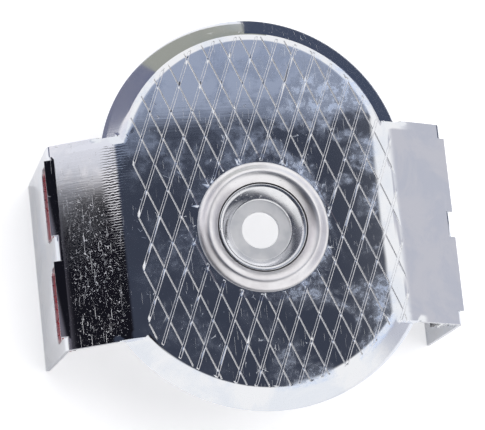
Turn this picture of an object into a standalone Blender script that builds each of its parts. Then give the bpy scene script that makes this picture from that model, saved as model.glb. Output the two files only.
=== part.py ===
"""Raised pavement marker pressed from one aluminium sheet.

A round, knurled top carries a nail cup at its hub.  Two wings slope down from it to folded end
panels, whose windows show reflector plates that sit inside on a backing strip.
Everything is in metres.  The road is Z = 0, and X runs from one end panel to the other.
"""

import math

import bmesh
import bpy
from mathutils import Matrix, Vector

MM = 0.001

# Sheet and clearances
SHEET = 1.0 * MM                 # wall of the pressed shell
CUP_WALL = 0.8 * MM              # wall of the nail cup
SEAT_GAP = 0.3 * MM              # between pieces that rest on each other

# Plateau, wings and end panels
PLATEAU_HEIGHT = 43.0 * MM       # road to the flat top
HALF_SPAN = 50.0 * MM            # middle plane to the outer face of an end panel
WING_HALF_LENGTH = 25.65 * MM    # half of a wing along its fold
WING_BEND_START = 29.5 * MM      # where the flat top begins to curve down
WING_BEND_RADIUS = 13.0 * MM     # outer radius of that bend
WING_SLOPE = math.radians(30.0)
FOLD_RADIUS = 2.0 * MM           # outer radius between wing and end panel
PANEL_TAPER = 1.6 * MM           # how far a panel's end leans in at the road

# Round lobes in front of and behind the wings
FRONT_REACH = 45.1 * MM          # hub axis to the front of the rim
FRONT_RADIUS = 43.3 * MM
BACK_REACH = 53.9 * MM           # hub axis to the back of the rim
BACK_RADIUS = 38.35 * MM
SKIRT_WIDTH = 6.35 * MM          # plan width of the sloping skirt
SKIRT_SLOPE = math.radians(42.0)
SHOULDER_RADIUS = 3.0 * MM       # outer radius where the skirt begins

# Hub
NAIL_HOLE_RADIUS = 4.6 * MM
CUP_FLOOR_RADIUS = 7.77 * MM     # where the flat floor meets the cone
CUP_LIP_RADIUS = 11.0 * MM
CUP_LIP_WIDTH = 0.8 * MM
CUP_DEPTH = 3.4 * MM             # flat top to the cup's floor
FLOOR_LEDGE = 1.6 * MM           # shell left under the cup's floor
BEAD_WIDTH = 5.0 * MM
BEAD_HEIGHT = 1.5 * MM
HUB_FLAT = 1.5 * MM              # flat ring round the bead that joins the top

# Windows and reflectors
WINDOW_HEIGHT = 11.0 * MM        # from the fold's corner down
WINDOW_MARGIN = 3.5 * MM         # metal between a window and the panel's end
WINDOW_CORNER = 2.0 * MM
BRIDGE = 6.5 * MM                # metal between the two windows of a panel
HOOD_REACH = 1.0 * MM            # how far the sheet stands out over a window
REFLECTOR_WALL = 2.2 * MM
REFLECTOR_OVERLAP = 1.5 * MM     # reflector hidden behind the window's edge
BACKING_WALL = 1.0 * MM
BACKING_MARGIN = 1.0 * MM        # backing strip beyond the reflectors
EDGE_ROUND = 0.3 * MM

# Facets
ROUND_STEPS = 56
LOBE_STEPS = 80
BEND_STEPS = 5
BEAD_STEPS = 8
CUT_CLEARANCE = 3.0 * MM         # how far a cutter stands past what it cuts
JOIN_STEP = 0.03 * MM            # joined faces differ by this much, so that none coincide
WEB_INSET = 0.15 * SHEET         # a web's edges stay this deep inside the sheet they join
WEB_WALL = 0.8 * SHEET
WEB_SKIN = 0.05 * SHEET          # a web's face stays this deep inside the wing's end face
WEB_ROOT = 0.7 * SHEET           # how far a web starts inside the flat top
HOOD_SKIN = 0.05 * SHEET         # a hood's faces stay this deep inside the sheet it extends
MERGE = 0.00001
DIGITS = 7                       # outlines are rounded, so that faces meant to be level are

# Places that follow from the sizes
HUB_Y = (FRONT_REACH - BACK_REACH) / 2
WINDOW_LENGTH = WING_HALF_LENGTH - WINDOW_MARGIN - BRIDGE / 2
HUB_AXIS = Vector((0.0, HUB_Y, 0.0))
SIDES = {"left": -1, "right": 1}
ENDS = {"front": -1, "rear": 1}


def clear_scene():
    for item in list(bpy.data.objects):
        bpy.data.objects.remove(item, do_unlink=True)


def new_collection(name):
    group = bpy.data.collections.new(name)
    bpy.context.scene.collection.children.link(group)
    return group


def make_material(name, color, metallic, roughness):
    finish = bpy.data.materials.new(name)
    finish.use_nodes = True
    shader = finish.node_tree.nodes["Principled BSDF"]
    shader.inputs["Base Color"].default_value = (*color, 1.0)
    shader.inputs["Metallic"].default_value = metallic
    shader.inputs["Roughness"].default_value = roughness
    return finish


def add_object(name, mesh, group, finish=None):
    item = bpy.data.objects.new(name, mesh)
    group.objects.link(item)
    if finish:
        mesh.materials.append(finish)
    return item


def hide_helper(item):
    item.hide_render = True
    item.display_type = "WIRE"
    return item


# --- Outlines -------------------------------------------------------------------------------

def arc(centre, radius, start, end, steps):
    """Points on a circle from one angle to another, both included."""
    angles = [start + (end - start) * step / steps for step in range(steps + 1)]
    return [centre + radius * Vector((math.cos(a), math.sin(a))) for a in angles]


def offset_path(path, distance):
    """Move a path sideways, to its right when it is walked from first to last."""
    moved = []
    for index, point in enumerate(path):
        before = (point - path[index - 1]).normalized() if index else None
        last = index == len(path) - 1
        after = None if last else (path[index + 1] - point).normalized()
        first_way = before or after
        second_way = after or before
        right = Vector((first_way.y, -first_way.x)) + Vector((second_way.y, -second_way.x))
        right.normalize()
        stretch = right.dot(Vector((first_way.y, -first_way.x)))
        moved.append(point + right * distance / stretch)
    return moved


def wing_bend_centre():
    return Vector((WING_BEND_START, PLATEAU_HEIGHT - WING_BEND_RADIUS))


def fold_centre():
    """Centre of the fold, where its arc touches both the slope and the end panel."""
    normal = Vector((math.sin(WING_SLOPE), math.cos(WING_SLOPE)))
    slope_distance = wing_bend_centre().dot(normal) + WING_BEND_RADIUS
    x = HALF_SPAN - FOLD_RADIUS
    return Vector((x, (slope_distance - FOLD_RADIUS - x * normal.x) / normal.y))


def fold_corner_height():
    """Height at which the slope would meet the end panel's outer face."""
    centre = fold_centre()
    return centre.y + FOLD_RADIUS * (1 - math.sin(WING_SLOPE)) / math.cos(WING_SLOPE)


def wing_path():
    """Top face of the right half: flat top, wing and end panel, in X and Z."""
    upright = math.pi / 2
    lean = upright - WING_SLOPE
    path = [Vector((0.0, PLATEAU_HEIGHT))]
    path += arc(wing_bend_centre(), WING_BEND_RADIUS, upright, lean, BEND_STEPS)
    path += arc(fold_centre(), FOLD_RADIUS, lean, 0.0, BEND_STEPS)
    path.append(Vector((HALF_SPAN, 0.0)))
    return path


def wing_height(x):
    """Height of the wing's top face at a distance from the middle plane."""
    bend_end = WING_BEND_START + WING_BEND_RADIUS * math.sin(WING_SLOPE)
    if x <= WING_BEND_START:
        return PLATEAU_HEIGHT
    along = min(x, bend_end) - WING_BEND_START
    dip = WING_BEND_RADIUS - math.sqrt(WING_BEND_RADIUS ** 2 - along ** 2)
    return PLATEAU_HEIGHT - dip - max(x - bend_end, 0.0) * math.tan(WING_SLOPE)


def skirt_path(rim_radius):
    """Top face of a lobe from its shoulder to its rim, in radius and height."""
    start = rim_radius - SKIRT_WIDTH
    centre = Vector((start, PLATEAU_HEIGHT - SHOULDER_RADIUS))
    upright = math.pi / 2
    path = arc(centre, SHOULDER_RADIUS, upright, upright - SKIRT_SLOPE, BEND_STEPS)
    fall = (rim_radius - path[-1].x) * math.tan(SKIRT_SLOPE)
    return path + [Vector((rim_radius, path[-1].y - fall))]


def skirt_height(radius, rim_radius):
    """Height of a lobe's top face, read along its skirt path."""
    path = skirt_path(rim_radius)
    if radius <= path[0].x:
        return PLATEAU_HEIGHT
    for inner, outer in zip(path, path[1:]):
        if radius <= outer.x:
            share = (radius - inner.x) / (outer.x - inner.x)
            return inner.y + share * (outer.y - inner.y)
    return path[-1].y


def cup_path():
    """Top face of the nail cup, from its lip in to its hole."""
    lip_end = CUP_LIP_RADIUS - CUP_LIP_WIDTH
    shoulder = CUP_LIP_WIDTH / 2
    floor = PLATEAU_HEIGHT - CUP_DEPTH
    return [
        Vector((CUP_LIP_RADIUS, PLATEAU_HEIGHT)),
        Vector((lip_end, PLATEAU_HEIGHT)),
        Vector((lip_end - shoulder, PLATEAU_HEIGHT - shoulder)),
        Vector((CUP_FLOOR_RADIUS + shoulder / 2, floor + shoulder)),
        Vector((CUP_FLOOR_RADIUS - shoulder / 2, floor)),
        Vector((NAIL_HOLE_RADIUS, floor)),
    ]


def bead_inner_radius():
    return CUP_LIP_RADIUS + SEAT_GAP


def hub_radius():
    """Outer edge of the turned hub, flat ring included."""
    return bead_inner_radius() + BEAD_WIDTH + HUB_FLAT


def hub_path():
    """Top face of the shell's hub, from its flat ring over the bead and down under the cup."""
    inner = bead_inner_radius()
    path = [Vector((hub_radius(), PLATEAU_HEIGHT - JOIN_STEP))]
    for step in range(BEAD_STEPS + 1):
        share = step / BEAD_STEPS
        rise = BEAD_HEIGHT * math.sin(math.pi * share)
        height = PLATEAU_HEIGHT - JOIN_STEP + rise
        path.append(Vector((inner + BEAD_WIDTH * (1 - share), height)))
    seat = offset_path(cup_path(), -(CUP_WALL + SEAT_GAP))
    path.append(Vector((inner, seat[0].y)))
    path += seat[2:-1]
    path.append(Vector((CUP_FLOOR_RADIUS - FLOOR_LEDGE, seat[-1].y)))
    return path


# --- Solids from outlines -------------------------------------------------------------------

def extruded(name, outline, half_depth, frame, group, finish=None):
    """A filled outline with a thickness, turned into a closed mesh."""
    curve = bpy.data.curves.new(name, "CURVE")
    curve.dimensions = "2D"
    curve.fill_mode = "BOTH"
    curve.extrude = half_depth
    spline = curve.splines.new("POLY")
    spline.points.add(len(outline) - 1)
    for knot, point in zip(spline.points, outline):
        knot.co = (round(point.x, DIGITS), round(point.y, DIGITS), 0.0, 1.0)
    spline.use_cyclic_u = True
    source = bpy.data.objects.new(name + "_outline", curve)
    group.objects.link(source)
    bpy.context.view_layer.update()
    evaluated = source.evaluated_get(bpy.context.evaluated_depsgraph_get())
    mesh = bpy.data.meshes.new_from_object(evaluated)
    bpy.data.objects.remove(source, do_unlink=True)
    work = bmesh.new()
    work.from_mesh(mesh)
    bmesh.ops.remove_doubles(work, verts=work.verts, dist=MERGE)
    bmesh.ops.recalc_face_normals(work, faces=work.faces)
    bmesh.ops.transform(work, matrix=frame, verts=work.verts)
    work.to_mesh(mesh)
    work.free()
    return add_object(name, mesh, group, finish)


def frame_xz(y=0.0):
    """Outline's X and Y lie along the world's X and Z, its depth along Y."""
    return Matrix(((1, 0, 0, 0), (0, 0, -1, y), (0, 1, 0, 0), (0, 0, 0, 1)))


def frame_yz(x=0.0):
    """Outline's X and Y lie along the world's Y and Z, its depth along X."""
    return Matrix(((0, 0, 1, x), (1, 0, 0, 0), (0, 1, 0, 0), (0, 0, 0, 1)))


def turned(name, profile, place, steps, group, finish=None):
    """A profile spun round the Z axis by a Screw modifier."""
    mesh = bpy.data.meshes.new(name)
    work = bmesh.new()
    points = [work.verts.new((round(p.x, DIGITS), 0.0, round(p.y, DIGITS))) for p in profile]
    for first, second in zip(points, points[1:]):
        work.edges.new((first, second))
    if profile[0].x > MERGE:
        work.edges.new((points[-1], points[0]))
    work.to_mesh(mesh)
    work.free()
    item = add_object(name, mesh, group, finish)
    item.location = place
    screw = item.modifiers.new("Spin", "SCREW")
    screw.steps = steps
    screw.render_steps = steps
    screw.use_merge_vertices = True
    screw.merge_threshold = MERGE
    screw.use_smooth_shade = False
    return item


def boxed(name, low, high, group, finish=None, rounding=0.0):
    """A box between two corners, its edges rounded if asked."""
    mesh = bpy.data.meshes.new(name)
    work = bmesh.new()
    bmesh.ops.create_cube(work, size=1.0)
    size = high - low
    bmesh.ops.scale(work, vec=size, verts=work.verts)
    bmesh.ops.translate(work, vec=low + size / 2, verts=work.verts)
    work.to_mesh(mesh)
    work.free()
    item = add_object(name, mesh, group, finish)
    if rounding:
        bevel = item.modifiers.new("Round", "BEVEL")
        bevel.width = rounding
        bevel.segments = 2
    return item


def combine(item, other, operation):
    step = item.modifiers.new(other.name, "BOOLEAN")
    step.operation = operation
    step.solver = "EXACT"
    step.object = other


def weld_seams(item, name):
    """Close the hairline seams that a union leaves."""
    weld = item.modifiers.new(name, "WELD")
    weld.merge_threshold = MERGE


# --- The pressed shell ----------------------------------------------------------------------

def make_channel(parts, finish):
    """Flat top, wings and end panels: one folded strip."""
    right_top = wing_path()
    right_under = offset_path(right_top, SHEET)
    left_top = [Vector((-p.x, p.y)) for p in reversed(right_top[1:])]
    left_under = [Vector((-p.x, p.y)) for p in right_under[1:]]
    outline = left_top + right_top + list(reversed(right_under)) + left_under
    return extruded("shell", outline, WING_HALF_LENGTH, frame_xz(HUB_Y), parts, finish)


def taper_panels(shell, helpers):
    """Lean both ends of the end panels in towards the road."""
    for end, sign in ENDS.items():
        edge = WING_HALF_LENGTH
        outline = [
            Vector((HUB_Y + sign * edge, fold_centre().y)),
            Vector((HUB_Y + sign * (edge + CUT_CLEARANCE), fold_centre().y)),
            Vector((HUB_Y + sign * (edge + CUT_CLEARANCE), -CUT_CLEARANCE)),
            Vector((HUB_Y + sign * (edge - PANEL_TAPER), -CUT_CLEARANCE)),
        ]
        half_width = HALF_SPAN + CUT_CLEARANCE
        cutter = extruded(end + "_taper_cut", outline, half_width, frame_yz(), helpers)
        combine(shell, hide_helper(cutter), "DIFFERENCE")


def add_lobe(shell, end, reach, rim_radius, helpers):
    """A round lobe with its sloping skirt, kept only beyond the wings."""
    sign = ENDS[end]
    top = [Vector((0.0, PLATEAU_HEIGHT))] + skirt_path(rim_radius)
    top = [point - Vector((0.0, JOIN_STEP)) for point in top]
    under = offset_path(top, SHEET - 2 * JOIN_STEP)
    profile = top + list(reversed(under))
    centre_y = HUB_Y + sign * (reach - rim_radius)
    lobe = turned(end + "_lobe", profile, (0.0, centre_y, 0.0), LOBE_STEPS, helpers)
    start = WING_HALF_LENGTH - SHEET / 2
    end_y = reach + CUT_CLEARANCE
    corners = sorted((HUB_Y + sign * start, HUB_Y + sign * end_y))
    wide = rim_radius + CUT_CLEARANCE
    low = Vector((-wide, corners[0], 0.0))
    high = Vector((wide, corners[1], PLATEAU_HEIGHT + CUT_CLEARANCE))
    window = boxed(end + "_lobe_keep", low, high, helpers)
    combine(lobe, hide_helper(window), "INTERSECT")
    combine(shell, hide_helper(lobe), "UNION")
    return centre_y


def add_webs(shell, end, centre_y, rim_radius, helpers):
    """Steep little walls that join a wing's end to the lower skirt beside it."""
    sign = ENDS[end]
    plane_y = HUB_Y + sign * WING_HALF_LENGTH
    reach = math.sqrt(rim_radius ** 2 - (plane_y - centre_y) ** 2)
    shoulder = math.sqrt((rim_radius - SKIRT_WIDTH) ** 2 - (plane_y - centre_y) ** 2)
    start = min(WING_BEND_START, shoulder) - WEB_ROOT
    steps = 2 * BEND_STEPS
    upper = []
    lower = []
    for step in range(steps + 1):
        x = start + (reach - WEB_INSET - start) * step / steps
        radius = math.hypot(x, plane_y - centre_y)
        upper.append(Vector((x, wing_height(x) - WEB_INSET)))
        low = min(skirt_height(radius, rim_radius), wing_height(x)) - SHEET + WEB_INSET
        lower.append(Vector((x, low)))
    outline = upper + list(reversed(lower))
    middle_y = plane_y - sign * (WEB_WALL / 2 + WEB_SKIN)
    for side, way in SIDES.items():
        shape = [Vector((way * point.x, point.y)) for point in outline]
        name = f"{side}_{end}_web"
        web = extruded(name, shape, WEB_WALL / 2, frame_xz(middle_y), helpers)
        combine(shell, hide_helper(web), "UNION")


def add_hub(shell, helpers):
    """Bead and seat for the nail cup, turned, in a round hole cut for them."""
    opening = hub_radius() - HUB_FLAT / 2
    low = PLATEAU_HEIGHT - CUT_CLEARANCE
    high = PLATEAU_HEIGHT + CUT_CLEARANCE
    profile = [Vector((0.0, high)), Vector((opening, high)), Vector((opening, low)),
               Vector((0.0, low))]
    hole = turned("hub_cut", profile, HUB_AXIS, ROUND_STEPS, helpers)
    combine(shell, hide_helper(hole), "DIFFERENCE")
    top = hub_path()
    under = offset_path(top, 2 * JOIN_STEP - SHEET)
    hub = turned("hub", list(reversed(top)) + under, HUB_AXIS, ROUND_STEPS, helpers)
    combine(shell, hide_helper(hub), "UNION")


def window_outline(end):
    """A window with round lower corners, open upwards into the fold."""
    sign = ENDS[end]
    near = BRIDGE / 2
    far = near + WINDOW_LENGTH
    base = fold_corner_height() - WINDOW_HEIGHT
    top = fold_corner_height() + CUT_CLEARANCE
    quarter = math.pi / 2
    low_near = Vector((near + WINDOW_CORNER, base + WINDOW_CORNER))
    low_far = Vector((far - WINDOW_CORNER, base + WINDOW_CORNER))
    points = [Vector((near, top))]
    points += arc(low_near, WINDOW_CORNER, 2 * quarter, 3 * quarter, BEND_STEPS)
    points += arc(low_far, WINDOW_CORNER, 3 * quarter, 4 * quarter, BEND_STEPS)
    points.append(Vector((far, top)))
    return [Vector((HUB_Y + sign * point.x, point.y)) for point in points]


def add_hood(shell, side, end, helpers):
    """The sheet over a window runs on straight past the fold."""
    run = Vector((math.cos(WING_SLOPE), -math.sin(WING_SLOPE)))
    rise = Vector((run.y, -run.x)) * -1.0
    tip = Vector((HALF_SPAN, fold_corner_height())) + run * HOOD_REACH / run.x
    root = tip - run * (FOLD_RADIUS + 2 * SHEET + HOOD_REACH)
    outline = [root - rise * HOOD_SKIN, tip - rise * HOOD_SKIN,
               tip - rise * (SHEET - HOOD_SKIN), root - rise * (SHEET - HOOD_SKIN)]
    shape = [Vector((SIDES[side] * point.x, point.y)) for point in outline]
    middle_y = HUB_Y + ENDS[end] * (BRIDGE + WINDOW_LENGTH) / 2
    name = f"{side}_{end}_hood"
    hood = extruded(name, shape, WINDOW_LENGTH / 2 + HOOD_SKIN, frame_xz(middle_y), helpers)
    combine(shell, hide_helper(hood), "UNION")


def cut_windows(shell, helpers):
    depth = SHEET + FOLD_RADIUS
    for side, way in SIDES.items():
        for end in ENDS:
            middle_x = way * (HALF_SPAN - SHEET - SHEET / 4 + depth)
            name = f"{side}_{end}_window_cut"
            cutter = extruded(name, window_outline(end), depth, frame_yz(middle_x), helpers)
            combine(shell, hide_helper(cutter), "DIFFERENCE")
            add_hood(shell, side, end, helpers)


def make_shell(parts, helpers):
    finish = make_material("pressed_aluminium", (0.62, 0.64, 0.68), 1.0, 0.22)
    shell = make_channel(parts, finish)
    taper_panels(shell, helpers)
    cut_windows(shell, helpers)
    for end, reach, radius in (("front", FRONT_REACH, FRONT_RADIUS),
                               ("rear", BACK_REACH, BACK_RADIUS)):
        centre_y = add_lobe(shell, end, reach, radius, helpers)
        add_webs(shell, end, centre_y, radius, helpers)
    add_hub(shell, helpers)
    weld_seams(shell, "hub_weld")


# --- Pieces fitted to the shell -------------------------------------------------------------

def make_nail_cup(parts):
    finish = make_material("cup_metal", (0.72, 0.72, 0.74), 1.0, 0.3)
    top = cup_path()
    under = offset_path(top, -CUP_WALL)
    profile = list(reversed(top)) + under
    turned("nail_cup", profile, HUB_AXIS, ROUND_STEPS, parts, finish)


def reflector_limits(end):
    """Lowest and highest Y and Z of the reflector behind one window."""
    sign = ENDS[end]
    near = BRIDGE / 2 - REFLECTOR_OVERLAP
    far = BRIDGE / 2 + WINDOW_LENGTH + REFLECTOR_OVERLAP
    y_limits = sorted((HUB_Y + sign * near, HUB_Y + sign * far))
    base = fold_corner_height() - WINDOW_HEIGHT - REFLECTOR_OVERLAP
    outer_x = HALF_SPAN - SHEET - SEAT_GAP
    sheet_below = SHEET / math.cos(WING_SLOPE) + SEAT_GAP
    top = wing_height(outer_x) - sheet_below
    return y_limits, base, min(top, fold_centre().y)


def make_reflectors(parts):
    red = make_material("red_reflector", (0.62, 0.02, 0.04), 0.0, 0.15)
    white = make_material("white_reflector", (0.80, 0.82, 0.84), 0.0, 0.15)
    for side, way in SIDES.items():
        finish = red if side == "left" else white
        outer_x = HALF_SPAN - SHEET - SEAT_GAP
        x_limits = sorted((way * outer_x, way * (outer_x - REFLECTOR_WALL)))
        for end in ENDS:
            y_limits, base, top = reflector_limits(end)
            low = Vector((x_limits[0], y_limits[0], base))
            high = Vector((x_limits[1], y_limits[1], top))
            boxed(f"{side}_{end}_reflector", low, high, parts, finish, EDGE_ROUND)


def make_backings(parts):
    finish = make_material("backing_plastic", (0.12, 0.12, 0.13), 0.0, 0.5)
    outer_x = HALF_SPAN - SHEET - REFLECTOR_WALL - 2 * SEAT_GAP
    half_length = BRIDGE / 2 + WINDOW_LENGTH + REFLECTOR_OVERLAP - BACKING_MARGIN / 2
    base = reflector_limits("front")[1] - BACKING_MARGIN
    top = reflector_limits("front")[2]
    for side, way in SIDES.items():
        x_limits = sorted((way * outer_x, way * (outer_x - BACKING_WALL)))
        low = Vector((x_limits[0], HUB_Y - half_length, base))
        high = Vector((x_limits[1], HUB_Y + half_length, top))
        boxed(f"{side}_reflector_backing", low, high, parts, finish, EDGE_ROUND)


def main():
    clear_scene()
    parts = new_collection("raised_pavement_marker")
    helpers = new_collection("cutters")
    make_shell(parts, helpers)
    make_nail_cup(parts)
    make_reflectors(parts)
    make_backings(parts)


main()
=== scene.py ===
# %% [markdown]
# # Raised pavement marker, pressed from one aluminium sheet
#
# The real marker is a disc of sheet metal with a diamond knurl rolled into its top, a dished
# seat for its nail in the middle, and two wings that slope down and fold into end panels.
# Reflector plates look out through windows in those panels.
#
# We follow the press shop: cut a flat blank, score the knurl, press the heights, fold the
# panels, and only then give the sheet its wall.  A model made in this order keeps its knurl
# and its bends exactly where the metal has them.

# %% Load the fixed frame
import math

import bmesh
import bpy
from mathutils import Matrix, Vector


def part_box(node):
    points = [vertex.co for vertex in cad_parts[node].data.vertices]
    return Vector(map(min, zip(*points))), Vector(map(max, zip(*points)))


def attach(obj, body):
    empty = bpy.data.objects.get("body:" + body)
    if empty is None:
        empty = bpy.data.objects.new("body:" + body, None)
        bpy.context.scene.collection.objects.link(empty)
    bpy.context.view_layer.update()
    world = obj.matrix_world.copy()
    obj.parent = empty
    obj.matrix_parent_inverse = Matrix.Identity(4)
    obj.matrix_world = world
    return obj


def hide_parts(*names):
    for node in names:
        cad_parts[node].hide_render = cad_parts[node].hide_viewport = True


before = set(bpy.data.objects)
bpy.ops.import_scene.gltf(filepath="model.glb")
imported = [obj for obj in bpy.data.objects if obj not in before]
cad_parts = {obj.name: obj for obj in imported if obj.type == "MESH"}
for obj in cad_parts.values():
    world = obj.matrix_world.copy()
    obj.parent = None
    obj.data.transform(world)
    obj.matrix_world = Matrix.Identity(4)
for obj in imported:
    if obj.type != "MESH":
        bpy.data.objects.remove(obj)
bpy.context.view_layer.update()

MM = 0.001

# %% [markdown]
# ## Sizes
#
# The frame already knows where everything is, so the hub, the top and the rims are read from
# it.  What is left are a few sizes of the press tools: bend radii, slopes and the wall.  The
# two lobes are kept in a small table under -1 for the front and 1 for the rear.

# %% Sizes from the frame and from the press tools
shell_low, shell_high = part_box("shell")
cup_low, cup_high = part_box("nail_cup")
HUB = Vector((0.0, (cup_low.y + cup_high.y) / 2, 0.0))
TOP = cup_high.z
LIP_RADIUS = cup_high.x
SHEET = 1.0 * MM
CUP_WALL = 0.8 * MM
CUP_DEPTH = TOP - cup_low.z - CUP_WALL
HALF_SPAN = 50.0 * MM
WING_HALF = 25.65 * MM
BEND_START = 29.5 * MM
BEND_RADIUS = 13.0 * MM
WING_SLOPE = math.radians(30.0)
FOLD_RADIUS = 2.0 * MM
SKIRT_WIDTH = 6.35 * MM
SKIRT_SLOPE = math.radians(42.0)
SHOULDER_RADIUS = 3.0 * MM

FRONT_RIM = 43.3 * MM
REAR_RIM = 38.35 * MM
FRONT_CENTRE = shell_low.y - HUB.y + FRONT_RIM
REAR_CENTRE = shell_high.y - HUB.y - REAR_RIM
LOBES = {-1: (FRONT_CENTRE, FRONT_RIM), 1: (REAR_CENTRE, REAR_RIM)}
NEAR = 0.01 * MM                 # two places closer than this count as the same
CUT_REACH = 1e-7                 # a cut takes a corner this close as lying on it
print("hub at", tuple(round(value / MM, 2) for value in HUB), "top", round(TOP / MM, 2), "mm")

# %% [markdown]
# ## Camera
#
# The marker is seen from high above its front, turned a little, through a long lens from
# about a metre away.  We describe that with four plain numbers (azimuth, elevation, roll and
# distance) and let `to_track_quat` aim the camera, which reads better than a typed matrix.

# %% Camera
VIEW_AZIMUTH = math.radians(-43.63)
VIEW_ELEVATION = math.radians(72.38)
VIEW_ROLL = math.radians(38.83)
VIEW_DISTANCE = 0.9792
FOCAL_LENGTH = 296.9             # in millimetres, as camera makers give it
AIM = Vector((-0.00486, -0.00111, TOP))

flat = math.cos(VIEW_ELEVATION)
to_camera = Vector((math.sin(VIEW_AZIMUTH) * flat, -math.cos(VIEW_AZIMUTH) * flat,
                    math.sin(VIEW_ELEVATION)))
lens = bpy.data.cameras.new("camera")
lens.lens = FOCAL_LENGTH
lens.sensor_width = 36.0
lens.clip_end = 10.0
camera = bpy.data.objects.new("camera", lens)
bpy.context.scene.collection.objects.link(camera)
aim_turn = (-to_camera).to_track_quat("-Z", "Y")
camera.rotation_mode = "QUATERNION"
camera.rotation_quaternion = aim_turn @ Matrix.Rotation(VIEW_ROLL, 3, "Z").to_quaternion()
camera.location = AIM + to_camera * VIEW_DISTANCE
bpy.context.scene.camera = camera
print("camera at", tuple(round(value, 3) for value in camera.location))

# %% [markdown]
# ## Building materials from nodes
#
# Every finish below is a small node tree.  Two helpers keep the cells short: one adds a node
# and sets its values, the other starts a material whose pattern coordinates are centred on
# the hub, so that all the pieces' patterns sit on the same place.

# %% Material helpers
def add_node(tree, kind, inputs=None, **settings):
    node = tree.nodes.new(kind)
    for name, value in settings.items():
        setattr(node, name, value)
    for name, value in (inputs or {}).items():
        if isinstance(value, bpy.types.NodeSocket):
            tree.links.new(value, node.inputs[name])
        else:
            node.inputs[name].default_value = value
    return node


def start_material(name, color, metallic, roughness):
    finish = bpy.data.materials.new(name)
    finish.use_nodes = True
    tree = finish.node_tree
    shader = tree.nodes["Principled BSDF"]
    shader.inputs["Base Color"].default_value = (*color, 1.0)
    shader.inputs["Metallic"].default_value = metallic
    shader.inputs["Roughness"].default_value = roughness
    place = add_node(tree, "ShaderNodeTexCoord")
    centre = add_node(tree, "ShaderNodeMapping", {"Vector": place.outputs["Object"]})
    centre.inputs["Location"].default_value = -HUB
    return finish, tree, shader, centre.outputs["Vector"]


def stretch(tree, vector, scale, turn=0.0):
    """The same coordinates turned about Z and stretched, for streaks and scratches."""
    node = add_node(tree, "ShaderNodeMapping", {"Vector": vector, "Scale": scale})
    node.inputs["Rotation"].default_value = (0.0, 0.0, turn)
    return node.outputs["Vector"]


def noise(tree, vector, scale, detail=3.0, roughness=0.55, distortion=0.0):
    node = add_node(tree, "ShaderNodeTexNoise", {
        "Vector": vector, "Scale": scale, "Detail": detail,
        "Roughness": roughness, "Distortion": distortion})
    return node.outputs["Fac"]


def ramp(tree, value, low, high, to_low=0.0, to_high=1.0, smooth=True):
    node = add_node(tree, "ShaderNodeMapRange", {
        "Value": value, "From Min": low, "From Max": high,
        "To Min": to_low, "To Max": to_high})
    node.interpolation_type = "SMOOTHSTEP" if smooth else "LINEAR"
    return node.outputs["Result"]


def math_node(tree, operation, first, second=0.0):
    node = add_node(tree, "ShaderNodeMath", {0: first, 1: second}, operation=operation)
    return node.outputs["Value"]


def mix_color(tree, share, first, second, blend="MIX"):
    node = add_node(tree, "ShaderNodeMix", data_type="RGBA", blend_type=blend)
    for index, value in ((0, share), (6, first), (7, second)):
        if isinstance(value, bpy.types.NodeSocket):
            tree.links.new(value, node.inputs[index])
        elif index:
            node.inputs[index].default_value = (*value, 1.0)
        else:
            node.inputs[index].default_value = value
    return node.outputs[2]


def bump(tree, height, distance, strength=1.0, below=None):
    node = add_node(tree, "ShaderNodeBump", {
        "Height": height, "Distance": distance, "Strength": strength})
    if below:
        tree.links.new(below, node.inputs["Normal"])
    return node.outputs["Normal"]

# %% [markdown]
# ## Pressed aluminium
#
# Mill-finish aluminium is close to a mirror, so most of what one sees on it is the studio.
# Its own marks are slow waves left by the press, blotches where the skin is duller, fine
# rolling lines, and scratches in every direction.  The waves and lines go into the bump, and
# the blotches and scratches also change the roughness, because a scratch scatters light.
# A Voronoi texture's cell borders, cut into pieces by a noise, make convincing crossed
# scratches, and a noise drawn out along one way makes the long straight ones.

# %% Scratch patterns
def long_scratches(tree, vector, turn, fineness, length, rarity):
    """A noise drawn out along one direction and cut off near its top."""
    grain = noise(tree, stretch(tree, vector, (fineness, length, length), turn), 1.0, 1.0, 0.4)
    return ramp(tree, grain, rarity, rarity + 0.03)


def crossed_scratches(tree, vector, scale, width, share):
    """Short pieces of a wobbly Voronoi net."""
    wobble = add_node(tree, "ShaderNodeTexNoise", {
        "Vector": vector, "Scale": scale * 0.8, "Detail": 2.0})
    moved = add_node(tree, "ShaderNodeVectorMath", {
        0: wobble.outputs["Color"], 1: (0.8 / scale,) * 3}, operation="MULTIPLY")
    place = add_node(tree, "ShaderNodeVectorMath", {
        0: vector, 1: moved.outputs["Vector"]}, operation="ADD")
    net = add_node(tree, "ShaderNodeTexVoronoi", {
        "Vector": place.outputs["Vector"], "Scale": scale}, feature="DISTANCE_TO_EDGE")
    line = ramp(tree, net.outputs["Distance"], width, 0.0)
    pieces = ramp(tree, noise(tree, vector, scale * 1.3, 1.0), share, share + 0.06)
    return math_node(tree, "MULTIPLY", line, pieces)


def strongest(tree, values):
    total = values[0]
    for value in values[1:]:
        total = math_node(tree, "MAXIMUM", total, value)
    return total


def product(tree, *values):
    total = values[0]
    for value in values[1:]:
        total = math_node(tree, "MULTIPLY", total, value)
    return total

# %% [markdown]
# ### Where the sheet is worn
#
# Wear has a place.  The left wing has been dragged over something hard, its bend shows the
# fine ripples that metal gets when it is stretched over a tool, and the knurled top carries
# only a few marks.  A thin haze lies on the flat top and grows towards the right.  Haze isn't
# bare metal, so there the metallic value drops a little and lets some diffuse light in.
#
# The masks below come from the Object coordinates, which on this piece are real metres from
# the hub.

# %% The skin of the shell
ALUMINIUM = (0.86, 0.87, 0.90)

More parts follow.
